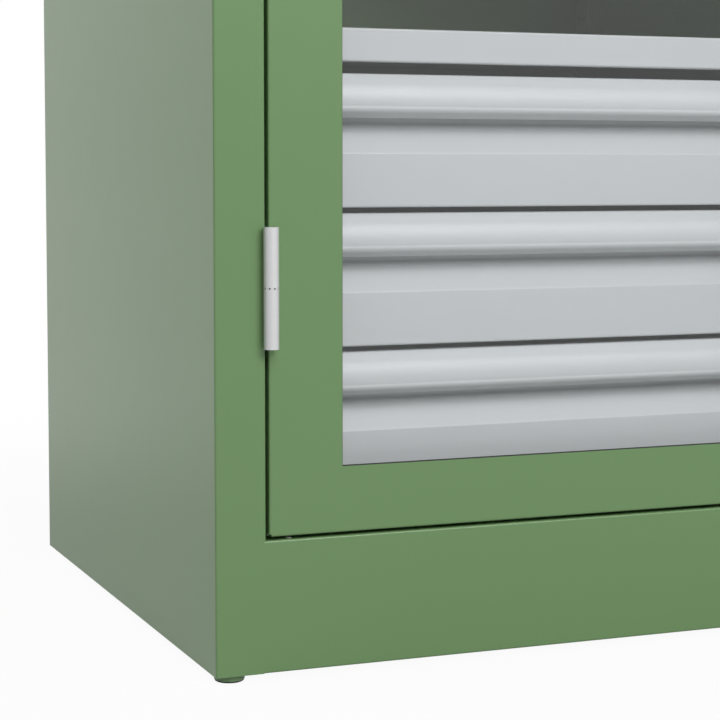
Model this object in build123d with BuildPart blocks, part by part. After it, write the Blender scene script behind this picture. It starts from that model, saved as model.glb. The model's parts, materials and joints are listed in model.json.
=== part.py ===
from build123d import *
import os
from math import acos, ceil, cos, pi, radians, sin, tan

os.makedirs("parts", exist_ok=True)

# All sizes are in millimetres. X runs to the right seen from the front, Y to the rear, Z up.
# The origin lies on the floor, below the middle of the whole outline.

# Body
BODY_WIDTH = 700.0
BODY_DEPTH = 650.0
BODY_HEIGHT = 1000.0
SHEET = 1.5                 # body and door sheet
BEND = 2.0                  # outer radius of a fold
STILE = 46.0                # face width of the body's front stiles
TOP_RAIL = 46.0             # face height of the body's top rail
PLINTH = 117.0              # face height of the plinth
REBATE = 24.0               # depth at which the door stop stands
STOP_LIP = 12.0             # width of the door stop
REAR_FLANGE = 20.0          # fold of the sides and top round the back
PLINTH_FOOT = 25.0          # fold under the plinth
FLOOR_FOLD = 9.0            # fold down at the front of the floor
REAR_APRON = 30.0           # fold down at the rear of the floor

# Levelling feet
FOOT_HEIGHT = 7.0           # height of the pad below the body
FOOT_DIAMETER = 27.0
FOOT_INSET = 17.5           # foot centre to the body's outer faces
REAR_FOOT_INSET = 24.0      # rear feet's centres to the body's sides
FOOT_PLATE = 4.0            # thickness of the corner plates
FOOT_PLATE_LENGTH = 60.0
STUD_DIAMETER = 10.0
STUD_LENGTH = 30.0
STUD_FIT = 0.1              # radial clearance of the studs

# Door
DOOR_GAP = 3.0              # gap all round the door
DOOR_DEPTH = 20.0
DOOR_LIP = 10.0             # inward fold at the rear of the door's edges
DOOR_STILE = 68.0           # door edge to window
DOOR_RAIL = 58.4            # door's bottom and top edge to window
CORNER_RELIEF = 3.0         # side of the relief cuts at the door's corners
RELIEF_DEPTH = 7.0          # relief cuts behind the door's face
GASKET = 2.0                # gasket thickness
GASKET_WIDTH = 10.0
GASKET_SHOW = 0.8           # gasket that shows inside the window's edge
PANE = 4.0                  # pane thickness
PANE_OVERLAP = 14.0         # pane edge behind the door sheet
CLAMP = 3.0                 # thickness of the strips that hold the pane
CLAMP_WIDTH = 20.0
CLAMP_SET = 1.0             # window edge to the strips
CLAMP_NUT = 7.0             # width across the flats of the cap nuts that hold the strips
CLAMP_NUT_HEIGHT = 5.0
CLAMP_NUT_INSET = 15.0      # window edge to the cap nuts
CLAMP_PITCH = 200.0         # largest distance between the cap nuts

# Hinges
HINGE_LENGTH = 105.0
HINGE_DIAMETER = 13.4
HINGE_FROM_END = 217.0      # door's end to the hinge's middle
HINGE_RUN = 0.3             # barrel to the face of the body
HINGE_PIN = 7.0
HINGE_PIN_LENGTH = 44.0     # above the boss
PIN_SOCKET = 30.0           # pin in the lower knuckle
PIN_SEAT = 0.02             # radial clearance in the lower knuckle
PIN_END_GAP = 1.0
HINGE_FIT = 0.08            # radial clearance of the pin
HINGE_LEAF = 2.2
HINGE_LEAF_REACH = 18.0     # leaf's end behind the front face
BOSS = 1.4                  # raised ring on the lower knuckle that carries the upper one
BOSS_DIAMETER = 11.0

# Small parts round the door
BUFFER_WIDTH = 8.0
BUFFER_LENGTH = 20.0
BUFFER_FROM_END = 70.0      # door's ends to the buffers
BUFFER_GAP = 0.3
GLIDE_DIAMETER = 6.0
GLIDE_HEIGHT = 1.4
GLIDE_INSET = 23.0          # from the stile's edge
GLIDE_DEPTH = 8.0           # behind the front face

# Uprights and shelf
POST_DEPTH = 18.0
POST_WIDTH = 30.0
POST_FRONT = 76.0           # front uprights behind the front face
POST_REAR = 16.0            # rear uprights in front of the back
SLOT_PITCH = 50.0
SLOT_START = 51.0           # floor to the first slot's middle
SLOT_WIDTH = 14.0
SLOT_HEIGHT = 5.0
SHELF_SHEET = 1.2
SHELF_SLOT = 7              # slot that takes the shelf's clips
SHELF_EDGE = 30.0
SHELF_HEM = 12.0
SHELF_SETBACK = 42.0
SHELF_SIDE_GAP = 1.0
SHELF_REAR_GAP = 12.0
CLIP = 2.0                  # thickness of the shelf clips
CLIP_WIDTH = 12.0
CLIP_HEIGHT = 20.0
CLIP_TONGUE = 14.0
CLIP_HOOK = 6.0             # hook below the slot's edge
CLIP_HOOK_HEIGHT = 4.0
CLIP_FIT = 0.2
CLIP_RISE = 5.0             # slot's middle to the shelf's underside

# Drawer bay and drawers
BAY_INSET = 79.0            # body's outer side to the bay wall's inner face
BAY_FRONT = 70.5
BAY_REAR = 600.0
BAY_GAP = 2.0               # bay walls to the shelf
DRAWERS = 3
DRAWER_PITCH = 125.0
DRAWER_FRONT = 118.7        # height of a drawer's front
DRAWER_INSET = 78.0         # body's outer side to a drawer's end
DRAWER_FACE = 41.0          # lower face of a drawer behind the door's face
SHELF_TO_DRAWER = 11.6
DRAWER_SHEET = 1.2
FACE_HEM = 12.0
FACE_HEIGHT = 48.7          # upright lower part of a drawer's front
RECESS_TOP = 36.0           # top edge to the upper end of the recess's slope
RECESS_DEPTH = 21.0
HANDLE_SET_BACK = 5.6       # handle's top edge behind the lower face
HANDLE_BULGE = 5.3          # middle corner of the handle's outline in front of the lower face
HANDLE_BULGE_DROP = 17.0
HANDLE_FOOT = 1.8           # handle's lower edge in front of the lower face
HANDLE_DROP = 30.8
LIP_DEPTH = 3.0             # handle's hem behind the lower face
LIP_HEIGHT = 36.0           # top edge to the hem's end
HANDLE_BENDS = (2.0, 4.0, 3.0, 2.0, 2.0, 24.0, 2.0)
TRAY_SHEET = 1.0
TRAY_LENGTH = 530.0
TRAY_WALL = 92.0
TRAY_RAISE = 5.0            # tray's bottom above the front's bottom
TRAY_LIP = 6.0

# Telescopic runners
RAIL_HEIGHT = 26.0
RAIL_DEPTH = 9.0
RAIL_SHEET = 1.5
RAIL_LENGTH = 520.0
RAIL_RISE = 55.0            # drawer front's bottom to the rails' middle
BEAM = 2.0                  # web of the middle rails
BEAM_FLANGE = 1.5
BEAM_LENGTH = 500.0
BEAM_FIT = 0.3              # gap between the middle rails' flanges and the outer and drawer rails
BEAM_RUN = 1.0              # sideways gap between the middle rails and the others

# Lock
LOCK_REACH = 28.0           # handle's front above the door's face
LOCK_HEIGHT = 460.0         # door's bottom to the lock
LOCK_INSET = 23.0           # door's edge to the lock
ROSE_DIAMETER = 36.0
ROSE = 4.0
ROSE_EDGE = 1.0             # bevel of the rose
HUB_DIAMETER = 24.0
HUB_RUN = 0.3
NECK_FIT = 0.1              # radial clearance of the handle's neck and the pinion's journal
NECK_END = 0.5              # neck's end in front of the door's face
WING_LENGTH = 64.0
WING_WIDTH = 15.0
HUB_SET_BACK = 4.0          # hub's front behind the wing's front
WING = 12.0
WING_EDGE = 1.5             # bevel of the wing
PLUG_DIAMETER = 11.0
PLUG_LENGTH = 14.0
PLUG_FIT = 0.06
KEY_SLOT_WIDTH = 1.6
KEY_SLOT_LENGTH = 7.0
KEY_SLOT_DEPTH = 8.0
SPINDLE = 7.0
SPINDLE_FIT = 0.1
SPINDLE_SOCKET = 10.0
SPINDLE_HOLE = 12.0
GEAR_TEETH = 12
GEAR_MODULE = 1.25
GEAR_WIDTH = 6.0
GEAR_DEPTH = 6.0            # pinion's front behind the door's face
PRESSURE_ANGLE = 20.0
PINION_ADDENDUM = 1.0
RACK_ADDENDUM = 0.8
TOOTH_CLEARANCE = 0.3
BACKLASH = 0.3
FLANK_STEPS = 3             # straight steps along a tooth's flank
TOOTH_ROOT = 0.9            # teeth start at this share of the root circle
JOURNAL = 11.5
ROD_WIDTH = 8.0
ROD = 4.0
RACK_TEETH = 9
ROD_SHORT = 0.5             # rod's end inside the door's edge when unlocked
ROD_SLOT_GAP = 1.0
CASE = 1.5
CASE_LENGTH = 90.0
CASE_DEPTH = 17.0           # case's back behind the door's face
CASE_GAP = 0.8
GUIDE_LENGTH = 14.0
GUIDE_FROM_END = 60.0
GUIDE_GAP = 0.3

# Places that follow from the sizes above
FRONT_Y = -(BODY_DEPTH - LOCK_REACH) / 2
BACK_Y = FRONT_Y + BODY_DEPTH
LEFT_X = -BODY_WIDTH / 2
BASE_Z = FOOT_HEIGHT
TOP_Z = BASE_Z + BODY_HEIGHT
FOLD = BEND - SHEET         # inner radius of a fold
STILE_X = LEFT_X + STILE
SEAM_X = STILE_X - BEND     # plinth and top rail are welded to the stile here
STOP_X = STILE_X + STOP_LIP
REBATE_Y = FRONT_Y + REBATE
PLINTH_Z = BASE_Z + PLINTH
RAIL_Z = TOP_Z - TOP_RAIL
FLOOR_Z = PLINTH_Z + STOP_LIP
INSIDE_X = LEFT_X + SHEET
INSIDE_Y = BACK_Y - 2 * SHEET

DOOR_X = STILE_X + DOOR_GAP
DOOR_WIDTH = -2 * DOOR_X
DOOR_Z = PLINTH_Z + DOOR_GAP
DOOR_HEIGHT = RAIL_Z - DOOR_GAP - DOOR_Z
DOOR_MIDDLE = DOOR_Z + DOOR_HEIGHT / 2
WINDOW_WIDTH = DOOR_WIDTH - 2 * DOOR_STILE
WINDOW_HEIGHT = DOOR_HEIGHT - 2 * DOOR_RAIL
PANE_Y = FRONT_Y + SHEET + GASKET

POST_X = INSIDE_X + POST_DEPTH
POST_HEIGHT = TOP_Z - SHEET - FLOOR_Z
SLOT_COUNT = int((POST_HEIGHT - SLOT_START) / SLOT_PITCH)
SLOTS = [FLOOR_Z + SLOT_START + SLOT_PITCH * step for step in range(SLOT_COUNT)]
SHELF_Z = FLOOR_Z + SLOT_START + SHELF_SLOT * SLOT_PITCH + CLIP_RISE
SHELF_X = POST_X + SHELF_SIDE_GAP
BAY_X = LEFT_X + BAY_INSET
DRAWER_X = LEFT_X + DRAWER_INSET
DRAWER_Y = FRONT_Y + DRAWER_FACE
TRAY_Y = DRAWER_Y + RECESS_DEPTH + DRAWER_SHEET
BEAM_X = BAY_X + RAIL_DEPTH + BEAM_RUN
TRAY_X = BEAM_X + BEAM + BEAM_RUN + RAIL_DEPTH
RAIL_Y = FRONT_Y + BAY_FRONT + SHEET
BEAM_HEIGHT = RAIL_HEIGHT - 2 * (RAIL_SHEET + BEAM_FIT)
BEAM_WIDTH = 2 * (RAIL_DEPTH - RAIL_SHEET) + BEAM
DRAWER_TOPS = [SHELF_Z - SHELF_TO_DRAWER - index * DRAWER_PITCH for index in range(DRAWERS)]

HINGE_X = DOOR_X
HINGE_Y = FRONT_Y - HINGE_DIAMETER / 2 - HINGE_RUN
HINGE_MIDDLES = {"lower": DOOR_Z + HINGE_FROM_END, "upper": DOOR_Z + DOOR_HEIGHT - HINGE_FROM_END}
HINGE_LEAF_DEPTH = FRONT_Y + HINGE_LEAF_REACH - HINGE_Y
BUFFERS = (DOOR_Z + BUFFER_FROM_END, DOOR_Z + DOOR_HEIGHT - BUFFER_FROM_END)
RELIEF_SPREAD = CORNER_RELIEF - SHEET
LOCK_X = -DOOR_X - LOCK_INSET
LOCK_Z = DOOR_Z + LOCK_HEIGHT
GEAR_RADIUS = GEAR_MODULE * GEAR_TEETH / 2
ROD_OFFSET = GEAR_RADIUS + PINION_ADDENDUM + TOOTH_CLEARANCE     # lock's middle to the rod's inner edge
ROD_MIDDLE = ROD_OFFSET + ROD_WIDTH / 2
ROD_Y = FRONT_Y + GEAR_DEPTH + GEAR_WIDTH / 2
ROD_SLOT_WIDTH = ROD_WIDTH + 2 * ROD_SLOT_GAP
ROD_SLOT_DEPTH = ROD + 2 * ROD_SLOT_GAP

FEET = [
    (side * (BODY_WIDTH / 2 - inset), y)
    for side in (-1, 1)
    for inset, y in ((FOOT_INSET, FRONT_Y + FOOT_INSET), (REAR_FOOT_INSET, BACK_Y - FOOT_INSET))
]

LOW = (Align.MIN, Align.MIN, Align.MIN)
STANDING = (Align.CENTER, Align.CENTER, Align.MIN)
UPSIDE_DOWN = (180, 0, 0)


def across(y: float) -> Plane:
    """Plane across the cabinet at depth y, seen from the front, whose extrusions run forwards."""
    return Plane.XZ.offset(-y)


def stations(length: float, pitch: float, margin: float) -> list[float]:
    """Places along a length, centred on zero and evenly spread no wider apart than the pitch."""
    span = length - 2 * margin
    gaps = ceil(span / pitch)
    return [-span / 2 + span * index / gaps for index in range(gaps + 1)]


# Side sheet, left hand: from the door stop round the stile and the side to the rear flange
with BuildPart() as left_side:
    with BuildSketch(Plane.XY.offset(BASE_Z)):
        with BuildLine():
            FilletPolyline(
                (STOP_X, REBATE_Y),
                (STILE_X, REBATE_Y),
                (STILE_X, FRONT_Y),
                (LEFT_X, FRONT_Y),
                (LEFT_X, BACK_Y),
                (LEFT_X + REAR_FLANGE, BACK_Y),
                radius=BEND,
            )
            offset(amount=SHEET, side=Side.RIGHT)
        make_face()
    extrude(amount=BODY_HEIGHT)
    # The folds of the rebate leave room for the plinth and the top rail
    with Locations((SEAM_X, FRONT_Y, BASE_Z)):
        Box(STOP_X - SEAM_X, REBATE + SHEET, PLINTH, align=LOW, mode=Mode.SUBTRACT)
    with Locations((SEAM_X, FRONT_Y, RAIL_Z)):
        Box(STOP_X - SEAM_X, REBATE + SHEET, TOP_RAIL, align=LOW, mode=Mode.SUBTRACT)

left_side.part.label = "left_side"
export_step(left_side.part, "parts/left_side.step")

with BuildPart() as right_side:
    mirror(left_side.part, about=Plane.YZ)
right_side.part.label = "right_side"
export_step(right_side.part, "parts/right_side.step")

# Plinth: foot flange, face, sill below the door, door stop
with BuildPart() as plinth:
    with BuildSketch(Plane.YZ.offset(SEAM_X)):
        with BuildLine():
            FilletPolyline(
                (FRONT_Y + PLINTH_FOOT, BASE_Z),
                (FRONT_Y, BASE_Z),
                (FRONT_Y, PLINTH_Z),
                (REBATE_Y, PLINTH_Z),
                (REBATE_Y, FLOOR_Z),
                radius=BEND,
            )
            offset(amount=SHEET, side=Side.RIGHT)
        make_face()
    extrude(amount=-2 * SEAM_X)
    # The door stop ends beside the stiles' stops
    with Locations([(x, REBATE_Y - BEND, PLINTH_Z) for x in (SEAM_X, -STOP_X)]):
        Box(STOP_X - SEAM_X, BEND + SHEET, STOP_LIP, align=LOW, mode=Mode.SUBTRACT)
    with Locations((LOCK_X - ROD_MIDDLE, ROD_Y, PLINTH_Z)):
        Box(ROD_SLOT_WIDTH, ROD_SLOT_DEPTH, 2 * SHEET, mode=Mode.SUBTRACT)
plinth.part.label = "plinth"
export_step(plinth.part, "parts/plinth.step")

# Top: door stop, front rail, top sheet and rear flange, with wings that reach the sides
with BuildPart() as top_panel:
    with BuildSketch(Plane.YZ.offset(SEAM_X)):
        with BuildLine():
            FilletPolyline(
                (REBATE_Y, RAIL_Z - STOP_LIP),
                (REBATE_Y, RAIL_Z),
                (FRONT_Y, RAIL_Z),
                (FRONT_Y, TOP_Z),
                (BACK_Y, TOP_Z),
                (BACK_Y, TOP_Z - REAR_FLANGE),
                radius=BEND,
            )
            offset(amount=SHEET, side=Side.RIGHT)
        make_face()
    extrude(amount=-2 * SEAM_X)
    with Locations([(x, REBATE_Y - BEND, RAIL_Z - STOP_LIP) for x in (SEAM_X, -STOP_X)]):
        Box(STOP_X - SEAM_X, BEND + SHEET, STOP_LIP, align=LOW, mode=Mode.SUBTRACT)
    wing_y = FRONT_Y + SHEET + FOLD
    with Locations([(x, wing_y, TOP_Z - SHEET) for x in (INSIDE_X + FOLD, -SEAM_X)]):
        Box(SEAM_X - INSIDE_X - FOLD, BACK_Y - SHEET - wing_y, SHEET, align=LOW)
    with Locations((LOCK_X + ROD_MIDDLE, ROD_Y, RAIL_Z)):
        Box(ROD_SLOT_WIDTH, ROD_SLOT_DEPTH, 2 * SHEET, mode=Mode.SUBTRACT)
top_panel.part.label = "top_panel"
export_step(top_panel.part, "parts/top_panel.step")

# Back: flat sheet inside the flanges of the sides and the top
with BuildPart() as back_panel:
    with Locations((INSIDE_X + FOLD, INSIDE_Y, BASE_Z)):
        Box(-2 * (INSIDE_X + FOLD), SHEET, BODY_HEIGHT - SHEET - FOLD, align=LOW)
back_panel.part.label = "back_panel"
export_step(back_panel.part, "parts/back_panel.step")

# Floor: folded down behind the plinth's stop and in front of the back
with BuildPart() as floor_panel:
    with BuildSketch(Plane.YZ.offset(INSIDE_X)):
        with BuildLine():
            FilletPolyline(
                (REBATE_Y + SHEET, FLOOR_Z - FLOOR_FOLD),
                (REBATE_Y + SHEET, FLOOR_Z),
                (INSIDE_Y, FLOOR_Z),
                (INSIDE_Y, FLOOR_Z - REAR_APRON),
                radius=BEND,
            )
            offset(amount=SHEET, side=Side.RIGHT)
        make_face()
    extrude(amount=-2 * INSIDE_X)
floor_panel.part.label = "floor_panel"
export_step(floor_panel.part, "parts/floor_panel.step")

# Corner plates with the levelling feet
with BuildPart() as corner_plates:
    for y in (FRONT_Y + SHEET + FOLD, INSIDE_Y - FOOT_PLATE_LENGTH):
        with Locations([(x, y, BASE_Z) for x in (INSIDE_X + FOLD, -SEAM_X)]):
            Box(SEAM_X - INSIDE_X - FOLD, FOOT_PLATE_LENGTH, FOOT_PLATE, align=LOW)
    with Locations([(x, y, BASE_Z + FOOT_PLATE) for x, y in FEET]):
        Hole(STUD_DIAMETER / 2 + STUD_FIT, depth=FOOT_PLATE)
corner_plates.part.label = "corner_plates"
export_step(corner_plates.part, "parts/corner_plates.step")

with BuildPart() as foot_pads:
    with Locations([(x, y, 0) for x, y in FEET]):
        Cylinder(FOOT_DIAMETER / 2, FOOT_HEIGHT, align=STANDING)
foot_pads.part.label = "foot_pads"
export_step(foot_pads.part, "parts/foot_pads.step")

with BuildPart() as foot_studs:
    with Locations([(x, y, FOOT_HEIGHT) for x, y in FEET]):
        Cylinder(STUD_DIAMETER / 2, STUD_LENGTH, align=STANDING)
foot_studs.part.label = "foot_studs"
export_step(foot_studs.part, "parts/foot_studs.step")

# Slotted uprights, a pair at the front and a pair at the rear
for row, post_y in (("front", FRONT_Y + POST_FRONT), ("rear", BACK_Y - POST_REAR - POST_WIDTH)):
    with BuildPart() as uprights:
        with BuildSketch(Plane.XY.offset(FLOOR_Z)):
            with BuildLine():
                FilletPolyline(
                    (INSIDE_X, post_y),
                    (POST_X, post_y),
                    (POST_X, post_y + POST_WIDTH),
                    (INSIDE_X, post_y + POST_WIDTH),
                    radius=BEND,
                )
                offset(amount=SHEET, side=Side.LEFT)
            make_face()
        extrude(amount=POST_HEIGHT)
        with BuildSketch(Plane.YZ.offset(POST_X)):
            with Locations([(post_y + POST_WIDTH / 2, z) for z in SLOTS]):
                Rectangle(SLOT_WIDTH, SLOT_HEIGHT)
        extrude(amount=-SHEET, mode=Mode.SUBTRACT)
        mirror(about=Plane.YZ)
    uprights.part.label = f"{row}_uprights"
    export_step(uprights.part, f"parts/{row}_uprights.step")

# Inner walls of the drawer bay
with BuildPart() as left_bay_wall:
    with BuildSketch(Plane.XY.offset(FLOOR_Z)):
        with BuildLine():
            FilletPolyline(
                (INSIDE_X, FRONT_Y + BAY_FRONT),
                (BAY_X, FRONT_Y + BAY_FRONT),
                (BAY_X, FRONT_Y + BAY_REAR),
                (INSIDE_X, FRONT_Y + BAY_REAR),
                radius=BEND,
            )
            offset(amount=SHEET, side=Side.LEFT)
        make_face()
    extrude(amount=SHELF_Z - BAY_GAP - FLOOR_Z)
left_bay_wall.part.label = "left_bay_wall"
export_step(left_bay_wall.part, "parts/left_bay_wall.step")

with BuildPart() as right_bay_wall:
    mirror(left_bay_wall.part, about=Plane.YZ)
right_bay_wall.part.label = "right_bay_wall"
export_step(right_bay_wall.part, "parts/right_bay_wall.step")

# Shelf, folded down on all four sides and hemmed at the front and the rear
shelf_y = FRONT_Y + SHELF_SETBACK
shelf_rear = INSIDE_Y - SHELF_REAR_GAP
with BuildPart() as shelf:
    with BuildSketch(Plane.YZ.offset(SHELF_X)):
        with BuildLine():
            FilletPolyline(
                (shelf_y + SHELF_HEM, SHELF_Z),
                (shelf_y, SHELF_Z),
                (shelf_y, SHELF_Z + SHELF_EDGE),
                (shelf_rear, SHELF_Z + SHELF_EDGE),
                (shelf_rear, SHELF_Z),
                (shelf_rear - SHELF_HEM, SHELF_Z),
                radius=BEND,
            )
            offset(amount=SHELF_SHEET, side=Side.RIGHT)
        make_face()
    extrude(amount=-2 * SHELF_X)
    with Locations([(x, shelf_y + SHELF_HEM, SHELF_Z) for x in (SHELF_X, -SHELF_X - SHELF_SHEET)]):
        Box(SHELF_SHEET, shelf_rear - shelf_y - 2 * SHELF_HEM, SHELF_EDGE, align=LOW)
shelf.part.label = "shelf"
export_step(shelf.part, "parts/shelf.step")

# Shelf clips: hook in the upright's slot, plate on its face, tongue under the shelf
hook_z = SHELF_Z - CLIP_RISE - SLOT_HEIGHT / 2
hook_x = POST_X - SHEET - CLIP_FIT
with BuildPart() as shelf_clips:
    for post_y in (FRONT_Y + POST_FRONT, BACK_Y - POST_REAR - POST_WIDTH):
        with BuildSketch(across(post_y + POST_WIDTH / 2)):
            with BuildLine():
                Polyline(
                    (POST_X + CLIP_TONGUE, SHELF_Z),
                    (POST_X + CLIP_TONGUE, SHELF_Z - CLIP),
                    (POST_X + CLIP, SHELF_Z - CLIP),
                    (POST_X + CLIP, SHELF_Z - CLIP_HEIGHT),
                    (POST_X, SHELF_Z - CLIP_HEIGHT),
                    (POST_X, hook_z),
                    (hook_x, hook_z),
                    (hook_x, hook_z - CLIP_HOOK),
                    (hook_x - CLIP, hook_z - CLIP_HOOK),
                    (hook_x - CLIP, hook_z + CLIP_HOOK_HEIGHT),
                    (POST_X, hook_z + CLIP_HOOK_HEIGHT),
                    (POST_X, SHELF_Z),
                    close=True,
                )
            make_face()
        extrude(amount=CLIP_WIDTH / 2, both=True)
    mirror(about=Plane.YZ)
shelf_clips.part.label = "shelf_clips"
export_step(shelf_clips.part, "parts/shelf_clips.step")

# Hinges: knuckle and leaf on the body, pin, knuckle and leaf on the door
knuckle = (HINGE_LENGTH - BOSS) / 2
for name, middle in HINGE_MIDDLES.items():
    with BuildPart() as body_half:
        with BuildSketch(Plane.XY.offset(middle - HINGE_LENGTH / 2)):
            with Locations((HINGE_X, HINGE_Y)):
                Circle(HINGE_DIAMETER / 2)
            with Locations((STILE_X, HINGE_Y)):
                Rectangle(HINGE_LEAF, HINGE_LEAF_DEPTH, align=(Align.MIN, Align.MIN))
        extrude(amount=knuckle)
        with Locations((HINGE_X, HINGE_Y, middle - BOSS / 2)):
            Cylinder(BOSS_DIAMETER / 2, BOSS, align=STANDING)
        with Locations((HINGE_X, HINGE_Y, middle + BOSS / 2)):
            Hole(HINGE_PIN / 2 + PIN_SEAT, depth=PIN_SOCKET)
    body_half.part.label = f"{name}_hinge_body_half"
    export_step(body_half.part, f"parts/{name}_hinge_body_half.step")

    with BuildPart() as door_half:
        with BuildSketch(Plane.XY.offset(middle + BOSS / 2)):
            with Locations((HINGE_X, HINGE_Y)):
                Circle(HINGE_DIAMETER / 2)
            with Locations((DOOR_X, HINGE_Y)):
                Rectangle(HINGE_LEAF, HINGE_LEAF_DEPTH, align=(Align.MAX, Align.MIN))
        extrude(amount=knuckle)
        with Locations(Location((HINGE_X, HINGE_Y, middle + BOSS / 2), UPSIDE_DOWN)):
            Hole(HINGE_PIN / 2 + HINGE_FIT, depth=HINGE_PIN_LENGTH + PIN_END_GAP)
    door_half.part.label = f"{name}_hinge_door_half"
    export_step(door_half.part, f"parts/{name}_hinge_door_half.step")

with BuildPart() as hinge_pins:
    with Locations([(HINGE_X, HINGE_Y, middle + BOSS / 2 - PIN_SOCKET) for middle in HINGE_MIDDLES.values()]):
        Cylinder(HINGE_PIN / 2, PIN_SOCKET + HINGE_PIN_LENGTH, align=STANDING)
hinge_pins.part.label = "hinge_pins"
export_step(hinge_pins.part, "parts/hinge_pins.step")

# Rubber buffers on the door stop and glides on the sill
with BuildPart() as door_buffers:
    with BuildSketch(across(REBATE_Y)):
        with Locations([(x, z) for x in (STOP_X - STOP_LIP / 2, STOP_LIP / 2 - STOP_X) for z in BUFFERS]):
            Rectangle(BUFFER_WIDTH, BUFFER_LENGTH)
    extrude(amount=REBATE - DOOR_DEPTH - BUFFER_GAP)
door_buffers.part.label = "door_buffers"
export_step(door_buffers.part, "parts/door_buffers.step")

with BuildPart() as sill_glides:
    glide_x = STILE_X + GLIDE_INSET
    with Locations([(x, FRONT_Y + GLIDE_DEPTH, PLINTH_Z) for x in (glide_x, -glide_x)]):
        Cylinder(GLIDE_DIAMETER / 2, GLIDE_HEIGHT, align=STANDING)
sill_glides.part.label = "sill_glides"
export_step(sill_glides.part, "parts/sill_glides.step")

# Door: folded frame with window, relief cuts at the folded corners
with BuildPart() as door_frame:
    with BuildSketch(across(FRONT_Y + DOOR_DEPTH)):
        with Locations((0, DOOR_MIDDLE)):
            Rectangle(DOOR_WIDTH, DOOR_HEIGHT)
    extrude(amount=DOOR_DEPTH)
    fillet(door_frame.faces().sort_by(Axis.Y)[0].edges(), BEND)
    with BuildSketch(across(FRONT_Y + DOOR_DEPTH - SHEET)):
        with Locations((0, DOOR_MIDDLE)):
            Rectangle(DOOR_WIDTH - 2 * SHEET, DOOR_HEIGHT - 2 * SHEET)
    extrude(amount=DOOR_DEPTH - 2 * SHEET, mode=Mode.SUBTRACT)
    with BuildSketch(across(FRONT_Y + DOOR_DEPTH)):
        with Locations((0, DOOR_MIDDLE)):
            Rectangle(DOOR_WIDTH - 2 * (SHEET + DOOR_LIP), DOOR_HEIGHT - 2 * (SHEET + DOOR_LIP))
    extrude(amount=SHEET, mode=Mode.SUBTRACT)
    with BuildSketch(across(FRONT_Y + SHEET)):
        with Locations((0, DOOR_MIDDLE)):
            Rectangle(WINDOW_WIDTH, WINDOW_HEIGHT)
        with Locations((LOCK_X, LOCK_Z)):
            Circle(SPINDLE_HOLE / 2)
    extrude(amount=SHEET, mode=Mode.SUBTRACT)
    with BuildSketch(across(FRONT_Y + RELIEF_DEPTH)):
        with Locations((0, DOOR_MIDDLE)):
            with GridLocations(DOOR_WIDTH - RELIEF_SPREAD, DOOR_HEIGHT - RELIEF_SPREAD, 2, 2):
                Rectangle(CORNER_RELIEF, CORNER_RELIEF)
    extrude(amount=RELIEF_DEPTH, mode=Mode.SUBTRACT)
    for side, z in ((1, DOOR_Z + DOOR_HEIGHT), (-1, DOOR_Z)):
        with Locations((LOCK_X + side * ROD_MIDDLE, ROD_Y, z)):
            Box(ROD_SLOT_WIDTH, ROD_SLOT_DEPTH, 2 * SHEET, mode=Mode.SUBTRACT)
door_frame.part.label = "door_frame"
export_step(door_frame.part, "parts/door_frame.step")

with BuildPart() as pane_gasket:
    with BuildSketch(across(PANE_Y)):
        with Locations((0, DOOR_MIDDLE)):
            Rectangle(WINDOW_WIDTH + 2 * GASKET_WIDTH, WINDOW_HEIGHT + 2 * GASKET_WIDTH)
            Rectangle(WINDOW_WIDTH - 2 * GASKET_SHOW, WINDOW_HEIGHT - 2 * GASKET_SHOW, mode=Mode.SUBTRACT)
    extrude(amount=GASKET)
pane_gasket.part.label = "pane_gasket"
export_step(pane_gasket.part, "parts/pane_gasket.step")

with BuildPart() as pane:
    with BuildSketch(across(PANE_Y + PANE)):
        with Locations((0, DOOR_MIDDLE)):
            Rectangle(WINDOW_WIDTH + 2 * PANE_OVERLAP, WINDOW_HEIGHT + 2 * PANE_OVERLAP)
    extrude(amount=PANE)
pane.part.label = "pane"
export_step(pane.part, "parts/pane.step")

# Clamping strips behind the pane, and the cap nuts that hold them
clamp_y = PANE_Y + PANE
upright_clamp = WINDOW_HEIGHT + 2 * (CLAMP_SET + CLAMP_WIDTH)
level_clamp = WINDOW_WIDTH + 2 * CLAMP_SET
nut_x = WINDOW_WIDTH / 2 + CLAMP_NUT_INSET
nut_z = WINDOW_HEIGHT / 2 + CLAMP_NUT_INSET
upright_nuts = [
    (side * nut_x, DOOR_MIDDLE + z)
    for side in (-1, 1)
    for z in stations(upright_clamp, CLAMP_PITCH, CLAMP_NUT_INSET)
]
level_nuts = [
    (x, DOOR_MIDDLE + side * nut_z)
    for side in (-1, 1)
    for x in stations(level_clamp, CLAMP_PITCH, 2 * CLAMP_NUT_INSET)
]

with BuildPart() as upright_clamps:
    with BuildSketch(across(clamp_y + CLAMP)):
        with Locations((0, DOOR_MIDDLE)):
            with GridLocations(WINDOW_WIDTH + 2 * CLAMP_SET + CLAMP_WIDTH, 1, 2, 1):
                Rectangle(CLAMP_WIDTH, upright_clamp)
    extrude(amount=CLAMP)
upright_clamps.part.label = "upright_clamps"
export_step(upright_clamps.part, "parts/upright_clamps.step")

with BuildPart() as level_clamps:
    with BuildSketch(across(clamp_y + CLAMP)):
        with Locations((0, DOOR_MIDDLE)):
            with GridLocations(1, WINDOW_HEIGHT + 2 * CLAMP_SET + CLAMP_WIDTH, 1, 2):
                Rectangle(level_clamp, CLAMP_WIDTH)
    extrude(amount=CLAMP)
level_clamps.part.label = "level_clamps"
export_step(level_clamps.part, "parts/level_clamps.step")

with BuildPart() as clamp_nuts:
    with BuildSketch(across(clamp_y + CLAMP + CLAMP_NUT_HEIGHT)):
        with Locations(upright_nuts + level_nuts):
            RegularPolygon(CLAMP_NUT / 2, 6, major_radius=False)
    extrude(amount=CLAMP_NUT_HEIGHT)
clamp_nuts.part.label = "clamp_nuts"
export_step(clamp_nuts.part, "parts/clamp_nuts.step")

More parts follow.
